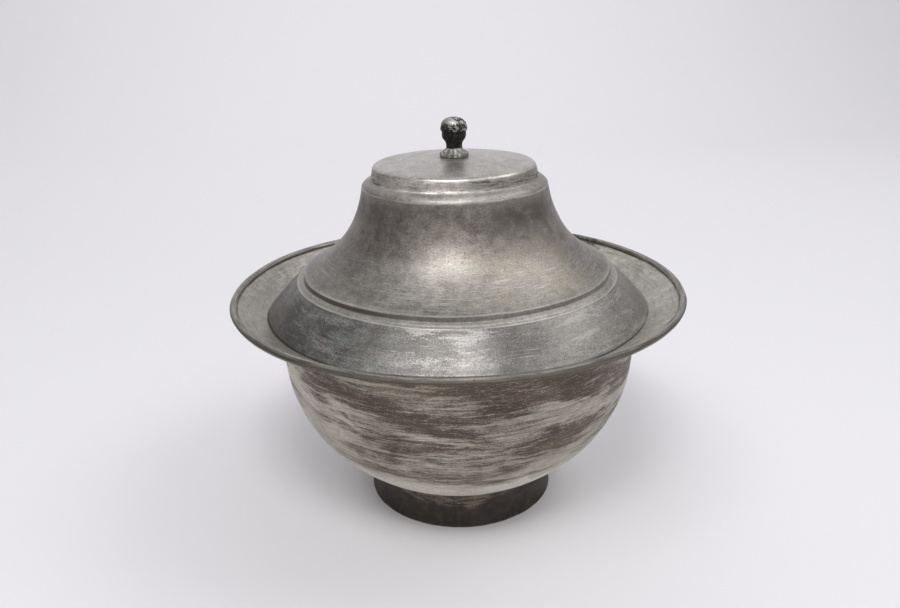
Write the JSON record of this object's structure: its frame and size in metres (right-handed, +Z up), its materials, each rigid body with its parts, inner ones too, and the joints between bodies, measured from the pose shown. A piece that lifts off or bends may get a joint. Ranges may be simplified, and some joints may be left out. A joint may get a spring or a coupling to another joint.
{
  "type": "shaving bowl",
  "caption": "Footed round bowl of tinned copper with a wide sloping flange and rolled rim, covered by a flared lift-off lid with a stepped brim, a domed flat top and a small cast knob.",
  "frame": {"origin": "centre of the circle that the foot stands on", "axes": "+Z up along the axis of revolution; the bowl and lid are round, so +X and +Y are free"},
  "size_m": [0.29, 0.29, 0.252],
  "materials": {
    "tinned_copper_bowl": "worn hot tin over copper, satin, with turning scratches",
    "tinned_copper_lid": "worn hot tin over copper, satin, with turning scratches",
    "dark_copper_foot": "dark patina with tin smears",
    "tin_solder": "dull cast tin",
    "iron_wire": "drawn iron, dull",
    "cast_knob": "rough cast, dark patina, worn grey on top",
    "cast_collar": "rough cast, tinned, worn",
    "copper_washer": "tinned and worn copper"
  },
  "bodies": {
    "bowl": {"bowl_shell": "tinned_copper_bowl", "rim_core_wire": "iron_wire", "foot_ring": "dark_copper_foot", "foot_solder_seam": "tin_solder"},
    "lid": {"lid_shell": "tinned_copper_lid", "finial_collar": "cast_collar", "finial_knob": "cast_knob", "finial_washer": "copper_washer"}
  },
  "joints": [
    {"name": "lid_lift", "type": "slide", "parent": "bowl", "child": "lid", "axis": [0, 0, 1], "range_m": [0, 0.15]}
  ]
}
